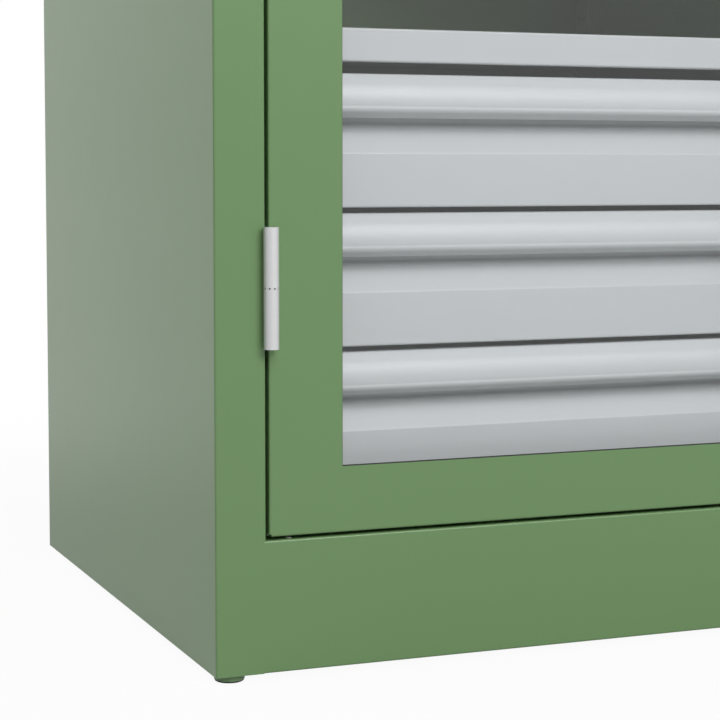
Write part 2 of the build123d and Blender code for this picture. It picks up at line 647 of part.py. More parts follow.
# Lock: rose and handle outside, pinion and two racked rods inside
with BuildPart() as lock_rose:
    with BuildSketch(across(FRONT_Y)):
        with Locations((LOCK_X, LOCK_Z)):
            Circle(ROSE_DIAMETER / 2)
    extrude(amount=ROSE)
    chamfer(lock_rose.faces().sort_by(Axis.Y)[0].edges(), ROSE_EDGE)
    with BuildSketch(across(FRONT_Y)):
        with Locations((LOCK_X, LOCK_Z)):
            Circle(SPINDLE_HOLE / 2)
    extrude(amount=ROSE, mode=Mode.SUBTRACT)
lock_rose.part.label = "lock_rose"
export_step(lock_rose.part, "parts/lock_rose.step")

with BuildPart() as lock_handle:
    with BuildSketch(across(FRONT_Y - NECK_END)):
        with Locations((LOCK_X, LOCK_Z)):
            Circle(SPINDLE_HOLE / 2 - NECK_FIT)
    extrude(amount=ROSE + HUB_RUN - NECK_END)
    with BuildSketch(across(FRONT_Y - ROSE - HUB_RUN)):
        with Locations((LOCK_X, LOCK_Z)):
            Circle(HUB_DIAMETER / 2)
    extrude(amount=LOCK_REACH - HUB_SET_BACK - ROSE - HUB_RUN)
    with BuildSketch(across(FRONT_Y - LOCK_REACH + WING)):
        with Locations((LOCK_X, LOCK_Z)):
            SlotOverall(WING_LENGTH, WING_WIDTH)
    extrude(amount=WING)
    chamfer(lock_handle.faces().sort_by(Axis.Y)[0].edges(), WING_EDGE)
    with BuildSketch(across(FRONT_Y - NECK_END)):
        with Locations((LOCK_X, LOCK_Z)):
            Rectangle(SPINDLE + 2 * SPINDLE_FIT, SPINDLE + 2 * SPINDLE_FIT)
    extrude(amount=SPINDLE_SOCKET, mode=Mode.SUBTRACT)
    with BuildSketch(across(FRONT_Y - LOCK_REACH + PLUG_LENGTH)):
        with Locations((LOCK_X, LOCK_Z)):
            Circle(PLUG_DIAMETER / 2 + PLUG_FIT)
    extrude(amount=PLUG_LENGTH, mode=Mode.SUBTRACT)
lock_handle.part.label = "lock_handle"
export_step(lock_handle.part, "parts/lock_handle.step")

with BuildPart() as lock_plug:
    with BuildSketch(across(FRONT_Y - LOCK_REACH + PLUG_LENGTH)):
        with Locations((LOCK_X, LOCK_Z)):
            Circle(PLUG_DIAMETER / 2)
    extrude(amount=PLUG_LENGTH)
    with BuildSketch(across(FRONT_Y - LOCK_REACH + KEY_SLOT_DEPTH)):
        with Locations((LOCK_X, LOCK_Z)):
            Rectangle(KEY_SLOT_WIDTH, KEY_SLOT_LENGTH)
    extrude(amount=KEY_SLOT_DEPTH, mode=Mode.SUBTRACT)
lock_plug.part.label = "lock_plug"
export_step(lock_plug.part, "parts/lock_plug.step")

with BuildPart() as lock_spindle:
    with BuildSketch(across(FRONT_Y + CASE_DEPTH)):
        with Locations((LOCK_X, LOCK_Z)):
            Rectangle(SPINDLE, SPINDLE)
    extrude(amount=CASE_DEPTH - NECK_END + SPINDLE_SOCKET - NECK_END)
lock_spindle.part.label = "lock_spindle"
export_step(lock_spindle.part, "parts/lock_spindle.step")


def involute(angle: float) -> float:
    """Involute function of a pressure angle in radians."""
    return tan(angle) - angle


def tooth_outline() -> list[tuple[float, float]]:
    """One pinion tooth on the X axis, its flanks involutes of the base circle."""
    base = GEAR_RADIUS * cos(radians(PRESSURE_ANGLE))
    tip = GEAR_RADIUS + PINION_ADDENDUM
    root = GEAR_RADIUS - RACK_ADDENDUM - TOOTH_CLEARANCE
    half_pitch = (pi * GEAR_MODULE / 2 - BACKLASH / 2) / (2 * GEAR_RADIUS)
    half_base = half_pitch + involute(radians(PRESSURE_ANGLE))
    flank = [(root * cos(half_base) * TOOTH_ROOT, root * sin(half_base) * TOOTH_ROOT)]
    for step in range(FLANK_STEPS + 1):
        radius = base + (tip - base) * step / FLANK_STEPS
        half = half_base - involute(acos(base / radius))
        flank.append((radius * cos(half), radius * sin(half)))
    return flank + [(x, -y) for x, y in reversed(flank)]


with BuildPart() as lock_pinion:
    with BuildSketch(across(FRONT_Y + GEAR_DEPTH + GEAR_WIDTH)):
        with Locations((LOCK_X, LOCK_Z)):
            Circle(GEAR_RADIUS - RACK_ADDENDUM - TOOTH_CLEARANCE)
            with PolarLocations(0, GEAR_TEETH, start_angle=180 / GEAR_TEETH):
                Polygon(*tooth_outline(), align=None)
    extrude(amount=GEAR_WIDTH)
    with BuildSketch(across(FRONT_Y + CASE_DEPTH)):
        with Locations((LOCK_X, LOCK_Z)):
            Circle(JOURNAL / 2)
    extrude(amount=CASE_DEPTH - SHEET - HUB_RUN)
    with BuildSketch(across(FRONT_Y + CASE_DEPTH)):
        with Locations((LOCK_X, LOCK_Z)):
            Rectangle(SPINDLE + 2 * SPINDLE_FIT, SPINDLE + 2 * SPINDLE_FIT)
    extrude(amount=CASE_DEPTH - SHEET - HUB_RUN, mode=Mode.SUBTRACT)
lock_pinion.part.label = "lock_pinion"
export_step(lock_pinion.part, "parts/lock_pinion.step")


def rack_tooth(side: int) -> list[tuple[float, float]]:
    """Rack tooth that points to the pinion from the rod on the given side, about the lock's middle."""
    pitch = pi * GEAR_MODULE
    slope = tan(radians(PRESSURE_ANGLE))
    half = (pitch - BACKLASH) / 4
    tip = half - RACK_ADDENDUM * slope
    root = half + (PINION_ADDENDUM + TOOTH_CLEARANCE) * slope
    return [
        (side * (ROD_OFFSET + ROD_WIDTH / 2), -root),
        (side * ROD_OFFSET, -root),
        (side * (GEAR_RADIUS - RACK_ADDENDUM), -tip),
        (side * (GEAR_RADIUS - RACK_ADDENDUM), tip),
        (side * ROD_OFFSET, root),
        (side * (ROD_OFFSET + ROD_WIDTH / 2), root),
    ]


# The upper rod rises on the right of the pinion, the lower rod drops on its left
rack_half = RACK_TEETH * pi * GEAR_MODULE / 2
upper_end = DOOR_Z + DOOR_HEIGHT - ROD_SHORT
lower_end = DOOR_Z + ROD_SHORT
for name, side, low, high in (
    ("upper_rod", 1, LOCK_Z - rack_half, upper_end),
    ("lower_rod", -1, lower_end, LOCK_Z + rack_half),
):
    with BuildPart() as rod:
        with BuildSketch(across(ROD_Y + ROD / 2)):
            with Locations((LOCK_X + side * ROD_MIDDLE, (low + high) / 2)):
                Rectangle(ROD_WIDTH, high - low)
            for index in range(RACK_TEETH):
                tooth_z = LOCK_Z + (index - (RACK_TEETH - 1) / 2) * pi * GEAR_MODULE
                with Locations((LOCK_X, tooth_z)):
                    Polygon(*rack_tooth(side), align=None)
        extrude(amount=ROD)
    rod.part.label = name
    export_step(rod.part, f"parts/{name}.step")

with BuildPart() as lock_case:
    case_half = ROD_OFFSET + ROD_WIDTH + CASE_GAP + CASE
    with BuildSketch(Plane.XY.offset(LOCK_Z - CASE_LENGTH / 2)):
        with BuildLine():
            Polyline(
                (LOCK_X - case_half, FRONT_Y + SHEET),
                (LOCK_X - case_half, FRONT_Y + CASE_DEPTH),
                (LOCK_X + case_half, FRONT_Y + CASE_DEPTH),
                (LOCK_X + case_half, FRONT_Y + SHEET),
            )
            offset(amount=CASE, side=Side.RIGHT)
        make_face()
    extrude(amount=CASE_LENGTH)
    with BuildSketch(across(FRONT_Y + CASE_DEPTH)):
        with Locations((LOCK_X, LOCK_Z)):
            Circle(JOURNAL / 2 + NECK_FIT)
    extrude(amount=CASE, mode=Mode.SUBTRACT)
lock_case.part.label = "lock_case"
export_step(lock_case.part, "parts/lock_case.step")

with BuildPart() as rod_guides:
    guide_depth = ROD_Y + ROD / 2 + GUIDE_GAP + CASE - FRONT_Y - SHEET
    for side, z in ((1, DOOR_Z + DOOR_HEIGHT - GUIDE_FROM_END), (-1, DOOR_Z + GUIDE_FROM_END)):
        with Locations((LOCK_X + side * ROD_MIDDLE, FRONT_Y + SHEET + guide_depth / 2, z)):
            Box(ROD_WIDTH + 2 * (GUIDE_GAP + CASE), guide_depth, GUIDE_LENGTH)
        with Locations((LOCK_X + side * ROD_MIDDLE, ROD_Y, z)):
            Box(ROD_WIDTH + 2 * GUIDE_GAP, ROD + 2 * GUIDE_GAP, GUIDE_LENGTH, mode=Mode.SUBTRACT)
rod_guides.part.label = "rod_guides"
export_step(rod_guides.part, "parts/rod_guides.step")


def channel(mouth_x: float, web_x: float, middle_z: float) -> Part:
    """Left-hand runner rail: a channel with its web at one x and its mouth at the other."""
    with BuildPart() as rail:
        with BuildSketch(across(RAIL_Y + RAIL_LENGTH)):
            with BuildLine():
                Polyline(
                    (mouth_x, middle_z - RAIL_HEIGHT / 2),
                    (web_x, middle_z - RAIL_HEIGHT / 2),
                    (web_x, middle_z + RAIL_HEIGHT / 2),
                    (mouth_x, middle_z + RAIL_HEIGHT / 2),
                )
                offset(amount=RAIL_SHEET, side=Side.RIGHT if web_x < mouth_x else Side.LEFT)
            make_face()
        extrude(amount=RAIL_LENGTH)
    return rail.part


# Drawers: front with its rolled handle, tray, and the runners' moving members
for number, top in enumerate(DRAWER_TOPS, start=1):
    bottom = top - DRAWER_FRONT
    rail_z = bottom + RAIL_RISE

    with BuildPart() as drawer_front:
        with BuildSketch(Plane.YZ.offset(DRAWER_X)):
            with BuildLine():
                FilletPolyline(
                    (DRAWER_Y + FACE_HEM, bottom),
                    (DRAWER_Y, bottom),
                    (DRAWER_Y, bottom + FACE_HEIGHT),
                    (DRAWER_Y + RECESS_DEPTH, top - RECESS_TOP),
                    (DRAWER_Y + RECESS_DEPTH, top - DRAWER_SHEET),
                    (DRAWER_Y + HANDLE_SET_BACK, top - DRAWER_SHEET),
                    (DRAWER_Y - HANDLE_BULGE, top - HANDLE_BULGE_DROP),
                    (DRAWER_Y - HANDLE_FOOT, top - HANDLE_DROP),
                    (DRAWER_Y + LIP_DEPTH, top - LIP_HEIGHT),
                    radius=HANDLE_BENDS,
                )
                offset(amount=DRAWER_SHEET, side=Side.RIGHT)
            make_face()
        extrude(amount=-2 * DRAWER_X)
        # Plates that close the ends of the face below the recess
        for x in (DRAWER_X, -DRAWER_X - DRAWER_SHEET):
            with BuildSketch(Plane.YZ.offset(x)):
                Polygon(
                    (DRAWER_Y + DRAWER_SHEET, bottom + DRAWER_SHEET),
                    (DRAWER_Y + DRAWER_SHEET, bottom + FACE_HEIGHT),
                    (TRAY_Y, top - RECESS_TOP - DRAWER_SHEET),
                    (TRAY_Y, bottom + DRAWER_SHEET),
                    align=None,
                )
            extrude(amount=DRAWER_SHEET)
    drawer_front.part.label = f"drawer_{number}_front"
    export_step(drawer_front.part, f"parts/drawer_{number}_front.step")

    with BuildPart() as tray:
        with BuildSketch(Plane.XY.offset(bottom + TRAY_RAISE)):
            with Locations((0, TRAY_Y + TRAY_LENGTH / 2)):
                Rectangle(-2 * TRAY_X, TRAY_LENGTH)
        extrude(amount=TRAY_WALL)
        offset(amount=-TRAY_SHEET, openings=tray.faces().sort_by(Axis.Z)[-1])
        # Lips turned outwards along the sides
        lip_z = bottom + TRAY_RAISE + TRAY_WALL - TRAY_SHEET
        with Locations([(x, TRAY_Y, lip_z) for x in (TRAY_X - TRAY_LIP, -TRAY_X - TRAY_SHEET)]):
            Box(TRAY_LIP + TRAY_SHEET, TRAY_LENGTH, TRAY_SHEET, align=LOW)
    tray.part.label = f"drawer_{number}_tray"
    export_step(tray.part, f"parts/drawer_{number}_tray.step")

    with BuildPart() as drawer_rails:
        add(channel(TRAY_X - RAIL_DEPTH, TRAY_X, rail_z))
        mirror(about=Plane.YZ)
    drawer_rails.part.label = f"drawer_{number}_rails"
    export_step(drawer_rails.part, f"parts/drawer_{number}_rails.step")

    with BuildPart() as beams:
        with BuildSketch(across(RAIL_Y + BEAM_LENGTH)):
            with Locations((BEAM_X + BEAM / 2, rail_z)):
                Rectangle(BEAM_WIDTH, BEAM_HEIGHT)
                with GridLocations((BEAM_WIDTH + BEAM) / 2, 1, 2, 1):
                    Rectangle((BEAM_WIDTH - BEAM) / 2, BEAM_HEIGHT - 2 * BEAM_FLANGE, mode=Mode.SUBTRACT)
        extrude(amount=BEAM_LENGTH)
        mirror(about=Plane.YZ)
    beams.part.label = f"drawer_{number}_middle_rails"
    export_step(beams.part, f"parts/drawer_{number}_middle_rails.step")

# Cabinet rails, fixed to the walls of the drawer bay
with BuildPart() as cabinet_rails:
    for top in DRAWER_TOPS:
        add(channel(BAY_X + RAIL_DEPTH, BAY_X, top - DRAWER_FRONT + RAIL_RISE))
    mirror(about=Plane.YZ)
cabinet_rails.part.label = "cabinet_rails"
export_step(cabinet_rails.part, "parts/cabinet_rails.step")
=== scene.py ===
"""Dresses the heavy-duty cabinet with its finishes and fittings, and sets up the studio and the camera."""

import json
import logging
import math
from collections.abc import Iterable, Sequence
from dataclasses import dataclass
from enum import Enum

import bmesh
import bpy
from bmesh.types import BMEdge, BMFace, BMVert
from mathutils import Matrix, Vector


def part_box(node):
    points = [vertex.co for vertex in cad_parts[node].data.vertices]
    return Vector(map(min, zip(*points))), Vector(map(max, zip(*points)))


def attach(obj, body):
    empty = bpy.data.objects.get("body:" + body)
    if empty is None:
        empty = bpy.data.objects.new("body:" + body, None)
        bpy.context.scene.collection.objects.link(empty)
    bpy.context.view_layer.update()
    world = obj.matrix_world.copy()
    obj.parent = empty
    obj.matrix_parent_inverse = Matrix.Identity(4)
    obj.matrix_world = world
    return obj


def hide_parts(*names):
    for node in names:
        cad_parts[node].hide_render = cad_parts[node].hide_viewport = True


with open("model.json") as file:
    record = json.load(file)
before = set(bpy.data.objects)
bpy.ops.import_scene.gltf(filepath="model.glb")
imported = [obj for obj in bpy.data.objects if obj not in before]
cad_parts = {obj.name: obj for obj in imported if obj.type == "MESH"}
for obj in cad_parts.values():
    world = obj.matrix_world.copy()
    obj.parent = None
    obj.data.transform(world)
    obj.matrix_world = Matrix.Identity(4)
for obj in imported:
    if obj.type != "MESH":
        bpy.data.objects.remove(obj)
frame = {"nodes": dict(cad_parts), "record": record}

LOG = logging.getLogger("cabinet")
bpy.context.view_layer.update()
MM = 0.001
TOLERANCE = 1e-6  # metres within which two places count as one
RIGHT = Vector((1, 0, 0))
REAR = Vector((0, 1, 0))
UP = Vector((0, 0, 1))
BACKGROUND_RAYS = ("Is Camera Ray", "Is Glossy Ray", "Is Transmission Ray")
Triple = tuple[float, float, float]
Colour = Triple
Profile = tuple[tuple[float, float], ...]


class Body(str, Enum):
    """Moving bodies of the cabinet that carry pieces made here."""

    CABINET = "cabinet"
    DOOR = "door"
    KEY_PLUG = "key_plug"
    DRAWER_1 = "drawer_1"
    DRAWER_2 = "drawer_2"
    DRAWER_3 = "drawer_3"


class Slot(str, Enum):
    """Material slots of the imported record."""

    BODY_GREEN = "body_green"
    LIGHT_GREY = "light_grey"
    GALVANISED = "galvanised"
    ZINC = "zinc"
    CLEAR_PANE = "clear_pane"
    BLACK_RUBBER = "black_rubber"
    GREY_PLASTIC = "grey_plastic"


class Shader:
    """Node tree of one material, round its Principled shader."""

    PATTERN_LOW = 0.3  # ends of a pattern's middle range
    PATTERN_HIGH = 0.7

    def __init__(self, name: str) -> None:
        """Starts a material.

        Args:
            name: Name of the material.
        """
        self.material = bpy.data.materials.new(name)
        self.material.use_nodes = True
        self.nodes = self.material.node_tree.nodes
        self.links = self.material.node_tree.links
        self.principled = self.nodes["Principled BSDF"]

    def set(self, **values: float) -> None:
        """Sets constants on the Principled shader's own sockets.

        Args:
            values: Socket names in lower case with underscores, and their constants.
        """
        for key, value in values.items():
            wanted = key.replace("_", " ")
            socket = next(s for s in self.principled.inputs if s.name.lower() == wanted)
            socket.default_value = value

    def drive(self, socket: str, source: bpy.types.NodeSocket) -> None:
        """Links a source to one of the Principled shader's sockets."""
        self.links.new(source, self.principled.inputs[socket])

    def coordinates(self, stretch: Triple = (1.0, 1.0, 1.0)) -> bpy.types.NodeSocket:
        """Gives Object coordinates in metres.

        Args:
            stretch: Factors along X, Y and Z.

        Returns:
            The mapped coordinates.
        """
        source = self.nodes.new("ShaderNodeTexCoord")
        mapping = self.nodes.new("ShaderNodeMapping")
        mapping.inputs["Scale"].default_value = stretch
        self.links.new(source.outputs["Object"], mapping.inputs["Vector"])
        return mapping.outputs["Vector"]

    def noise(self, where: bpy.types.NodeSocket, scale: float, detail: float = 2.0) -> bpy.types.NodeSocket:
        """Gives a noise pattern.

        Args:
            where: Coordinates of the pattern.
            scale: Features per metre.
            detail: Octaves of finer noise.

        Returns:
            The noise, from 0 to 1.
        """
        noise = self.nodes.new("ShaderNodeTexNoise")
        noise.inputs["Scale"].default_value = scale
        noise.inputs["Detail"].default_value = detail
        self.links.new(where, noise.inputs["Vector"])
        return noise.outputs["Fac"]

    def spangle(self, where: bpy.types.NodeSocket, scale: float) -> bpy.types.NodeSocket:
        """Gives the grey of zinc spangle, one tone per crystal.

        Args:
            where: Coordinates of the pattern.
            scale: Crystals per metre.

        Returns:
            The tone, from 0 to 1.
        """
        cells = self.nodes.new("ShaderNodeTexVoronoi")
        cells.inputs["Scale"].default_value = scale
        self.links.new(where, cells.inputs["Vector"])
        grey = self.nodes.new("ShaderNodeSeparateColor")
        self.links.new(cells.outputs["Color"], grey.inputs["Color"])
        return grey.outputs["Red"]

    def spread(self, source: bpy.types.NodeSocket, low: float, high: float) -> bpy.types.NodeSocket:
        """Maps a pattern's middle range onto a span of values.

        Args:
            source: Pattern from 0 to 1.
            low: Value at the range's low end.
            high: Value at the range's high end.

        Returns:
            The mapped value.
        """
        spread = self.nodes.new("ShaderNodeMapRange")
        spread.inputs["From Min"].default_value = self.PATTERN_LOW
        spread.inputs["From Max"].default_value = self.PATTERN_HIGH
        spread.inputs["To Min"].default_value = low
        spread.inputs["To Max"].default_value = high
        self.links.new(source, spread.inputs["Value"])
        return spread.outputs["Result"]

    def tones(self, source: bpy.types.NodeSocket, first: Colour, second: Colour) -> bpy.types.NodeSocket:
        """Blends two tones by a pattern.

        Args:
            source: Pattern from 0 to 1.
            first: Linear colour at the low end.
            second: Linear colour at the high end.

        Returns:
            The blended colour.
        """
        ramp = self.nodes.new("ShaderNodeValToRGB")
        ends = zip(ramp.color_ramp.elements, (self.PATTERN_LOW, self.PATTERN_HIGH), (first, second))
        for element, position, colour in ends:
            element.position = position
            element.color = (*colour, 1.0)
        self.links.new(source, ramp.inputs["Fac"])
        return ramp.outputs["Color"]

    def relief(self, height: bpy.types.NodeSocket, depth: float, strength: float) -> None:
        """Raises the surface's normal by a pattern.

        Args:
            height: Pattern from 0 to 1.
            depth: Height of the relief in metres.
            strength: Share of the relief that is used.
        """
        bump = self.nodes.new("ShaderNodeBump")
        bump.inputs["Strength"].default_value = strength
        bump.inputs["Distance"].default_value = depth
        self.links.new(height, bump.inputs["Height"])
        self.drive("Normal", bump.outputs["Normal"])


@dataclass(frozen=True)
class PowderCoat:
    """Baked powder coat on sheet steel, with its faint orange peel. Patterns in features per metre."""

    name: str
    tone: Colour
    deep_tone: Colour
    roughness: float = 0.3
    roughness_play: float = 0.006
    cloud_scale: float = 2.6
    gloss_scale: float = 38.0
    peel_scale: float = 420.0
    peel_depth: float = 0.00001
    peel_strength: float = 0.3
    ior: float = 1.5

    def material(self) -> bpy.types.Material:
        """Builds the coat's material.

        Returns:
            The material.
        """
        shader = Shader(self.name)
        where = shader.coordinates()
        clouds = shader.noise(where, self.cloud_scale, detail=3.0)
        shader.drive("Base Color", shader.tones(clouds, self.deep_tone, self.tone))
        gloss = shader.noise(where, self.gloss_scale, detail=4.0)
        play = self.roughness_play
        shader.drive("Roughness", shader.spread(gloss, self.roughness - play, self.roughness + play))
        peel = shader.noise(where, self.peel_scale, detail=1.0)
        shader.relief(peel, self.peel_depth, self.peel_strength)
        shader.set(ior=self.ior)
        return shader.material


@dataclass(frozen=True)
class PlatedSteel:
    """Plated metal with drawing lines along one direction and a trace of spangle."""

    name: str
    tone: Colour
    deep_tone: Colour
    roughness: float = 0.38
    roughness_play: float = 0.06
    lines: Triple = (400.0, 6.0, 400.0)  # per metre along X, Y and Z
    line_depth: float = 0.00001
    line_strength: float = 0.5
    crystals: float = 90.0  # per metre
    metal: float = 0.9

    def material(self) -> bpy.types.Material:
        """Builds the plating's material.

        Returns:
            The material.
        """
        shader = Shader(self.name)
        where = shader.coordinates()
        grain = shader.noise(shader.coordinates(self.lines), 1.0, detail=3.0)
        spangle = shader.spangle(where, self.crystals)
        shader.drive("Base Color", shader.tones(spangle, self.deep_tone, self.tone))
        play = self.roughness_play
        shader.drive("Roughness", shader.spread(grain, self.roughness - play, self.roughness + play))
        shader.relief(grain, self.line_depth, self.line_strength)
        shader.set(metallic=self.metal)
        return shader.material


@dataclass(frozen=True)
class Moulded:
    """Moulded rubber or plastic with a fine mould grain. Patterns in features per metre."""

    name: str
    tone: Colour
    deep_tone: Colour
    roughness: float = 0.6
    smoother: float = 0.05
    rougher: float = 0.08
    cloud_scale: float = 60.0
    grain_scale: float = 900.0
    grain_depth: float = 0.00003
    grain_strength: float = 0.6
    ior: float = 1.5

    def material(self) -> bpy.types.Material:
        """Builds the moulding's material.

        Returns:
            The material.
        """
        shader = Shader(self.name)
        where = shader.coordinates()
        clouds = shader.noise(where, self.cloud_scale, detail=3.0)
        shader.drive("Base Color", shader.tones(clouds, self.deep_tone, self.tone))
        grain = shader.noise(where, self.grain_scale)
        span = (self.roughness - self.smoother, self.roughness + self.rougher)
        shader.drive("Roughness", shader.spread(grain, *span))
        shader.relief(grain, self.grain_depth, self.grain_strength)
        shader.set(ior=self.ior)
        return shader.material


@dataclass(frozen=True)
class ClearSheet:
    """Clear plastic sheet whose faint white veil, drawn through its alpha, is a painted reflection of the
    white surroundings. Patterns in features per metre.
    """

    name: str
    tone: Colour
    deep_tone: Colour
    # share of white over the pane: a painted reflection of the white surroundings on both faces
    painted_reflection: float
    smear_scale: float = 5.0
    smoothest: float = 0.05
    roughest: float = 0.12
    wave_scale: float = 3.0
    wave_depth: float = 0.00001
    wave_strength: float = 0.2
    ior: float = 1.49

    def material(self) -> bpy.types.Material:
        """Builds the sheet's material.

        Returns:
            The material.
        """
        shader = Shader(self.name)
        where = shader.coordinates()
        smears = shader.noise(where, self.smear_scale, detail=4.0)
        shader.drive("Base Color", shader.tones(smears, self.deep_tone, self.tone))
        shader.drive("Roughness", shader.spread(smears, self.smoothest, self.roughest))
        waves = shader.noise(where, self.wave_scale, detail=1.0)
        shader.relief(waves, self.wave_depth, self.wave_strength)
        # the white tone at this alpha is a painted reflection on the pane
        shader.set(ior=self.ior, alpha=self.painted_reflection)
        return shader.material


class Finishes:
    """Materials of the cabinet, one for each slot of the record and one for the lock's die castings."""

    DIE_CASTINGS = ("lock_handle", "lock_rose")

    def __init__(self) -> None:
        """Builds every material once."""
        green = PowderCoat("green_coat", (0.136, 0.247, 0.0995), (0.134, 0.244, 0.098))
        grey = PowderCoat(
            "light_grey_coat", (0.500, 0.526, 0.542), (0.494, 0.520, 0.536), roughness=0.38
        )
        galvanised = PlatedSteel("galvanised_steel", (0.62, 0.63, 0.64), (0.50, 0.51, 0.53))
        zinc = PlatedSteel(
            "satin_zinc",
            (0.64, 0.64, 0.65),
            (0.62, 0.62, 0.63),
            roughness=0.45,
            lines=(700.0, 700.0, 1.0),
            crystals=8.0,
            metal=0.3,
        )
        die_cast = PlatedSteel(
            "die_cast_zinc",
            (0.37, 0.37, 0.38),
            (0.35, 0.35, 0.36),
            roughness=0.4,
            lines=(500.0, 500.0, 500.0),
            crystals=30.0,
            metal=0.5,
        )
        # the clear sheet's near-white tone at alpha 0.038 is a painted reflection, not haze in the sheet
        clear = ClearSheet("clear_sheet", (0.93, 0.95, 0.95), (0.90, 0.92, 0.92), painted_reflection=0.038)
        rubber = Moulded("black_rubber_moulding", (0.024, 0.024, 0.024), (0.016, 0.016, 0.016))
        plastic = Moulded("grey_plastic_moulding", (0.46, 0.46, 0.44), (0.42, 0.42, 0.40), roughness=0.4)
        self.die_cast = die_cast.material()
        self.by_slot: dict[Slot, bpy.types.Material] = {
            Slot.BODY_GREEN: green.material(),
            Slot.LIGHT_GREY: grey.material(),
            Slot.GALVANISED: galvanised.material(),
            Slot.ZINC: zinc.material(),
            Slot.CLEAR_PANE: clear.material(),
            Slot.BLACK_RUBBER: rubber.material(),
            Slot.GREY_PLASTIC: plastic.material(),
        }

    def dress_nodes(self) -> None:
        """Gives every CAD node the material of its slot, or of the die castings."""
        for part in frame["record"]["subparts"]:
            node = frame["nodes"][part["node"]]
            finish = self.by_slot[Slot(part["material_slot"])]
            if part["node"] in self.DIE_CASTINGS:
                finish = self.die_cast
            for place in node.material_slots:
                place.material = finish


class Shape:
    """A mesh under construction, in metres in the cabinet's frame."""

    SHARP_ANGLE = math.radians(35)

    def __init__(self) -> None:
        """Starts an empty mesh."""
        self.bm = bmesh.new()

    def cylinder(
        self, foot: Vector, axis: Vector, radius: float, length: float, sides: int
    ) -> list[BMVert]:
        """Adds a closed cylinder or prism.

        Args:
            foot: Middle of its first end.
            axis: Direction from the first end to the second.
            radius: Radius at the corners, in metres.
            length: Length in metres.
            sides: Number of sides.

        Returns:
            The cylinder's vertices.
        """
        turn = axis.to_track_quat("Z", "Y").to_matrix().to_4x4()
        place = Matrix.Translation(foot + axis.normalized() * (length / 2)) @ turn
        made = bmesh.ops.create_cone(
            self.bm,
            cap_ends=True,
            segments=sides,
            radius1=radius,
            radius2=radius,
            depth=length,
            matrix=place,
        )
        return made["verts"]

    def hexagon(self, foot: Vector, axis: Vector, across_flats: float, height: float) -> list[BMEdge]:
        """Adds the hexagon of a nut.

        Args:
            foot: Middle of its lower face.
            axis: Direction from the lower face to the upper.
            across_flats: Width across the flats, in millimetres.
            height: Height in millimetres.

        Returns:
            The hexagon's edges.
        """
        verts = self.cylinder(foot, axis, across_flats / math.sqrt(3) * MM, height * MM, 6)
        return list({edge for vert in verts for edge in vert.link_edges})

    def turned(self, foot: Vector, axis: Vector, profile: Profile, sides: int) -> None:
        """Adds a turned solid.

        Args:
            foot: Point on the axis from which the profile's heights are measured.
            axis: Direction in which the heights grow.
            profile: Radii and heights in millimetres, from one end on the axis to the other.
            sides: Number of facets round the axis.
        """
        side = axis.orthogonal().normalized()
        verts = [self.bm.verts.new(foot + side * (r * MM) + axis * (h * MM)) for r, h in profile]
        chain = [self.bm.edges.new(pair) for pair in zip(verts, verts[1:])]
        bmesh.ops.spin(
            self.bm,
            geom=verts + chain,
            cent=foot,
            axis=axis,
            angle=math.tau,
            steps=sides,
            use_merge=True,
        )

    def soften(self, edges: Iterable[BMEdge], width: float, segments: int) -> None:
        """Rounds edges.

        Args:
            edges: Edges to round.
            width: Distance from the edge to the rounding's borders, in metres.
            segments: Facets across the rounding.
        """
        bmesh.ops.bevel(
            self.bm,
            geom=list(edges),
            offset=width,
            offset_type="OFFSET",
            segments=segments,
            profile=0.5,
            affect="EDGES",
            material=-1,
        )

    def piece(
        self, name: str, body: Body, finishes: Finishes, slot: Slot, stands_for: Sequence[str] = ()
    ) -> None:
        """Closes the mesh and makes it a piece of the cabinet.

        Args:
            name: Name of the piece.
            body: Body that it moves with.
            finishes: Materials of the cabinet.
            slot: The record's slot of its finish.
            stands_for: CAD nodes that it replaces.
        """
        bmesh.ops.remove_doubles(self.bm, verts=self.bm.verts, dist=TOLERANCE)
        bmesh.ops.recalc_face_normals(self.bm, faces=self.bm.faces)
        for face in self.bm.faces:
            face.smooth = True
        for edge in self.bm.edges:
            edge.smooth = len(edge.link_faces) == 2 and edge.calc_face_angle() < self.SHARP_ANGLE
        mesh = bpy.data.meshes.new(name)
        self.bm.to_mesh(mesh)
        self.bm.free()
        made = bpy.data.objects.new(name, mesh)
        bpy.context.scene.collection.objects.link(made)
        mesh.materials.append(finishes.by_slot[slot])
        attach(made, body.value)
        if stands_for:
            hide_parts(*stands_for)
        LOG.info("piece %s: %d faces on %s", name, len(mesh.polygons), body.value)


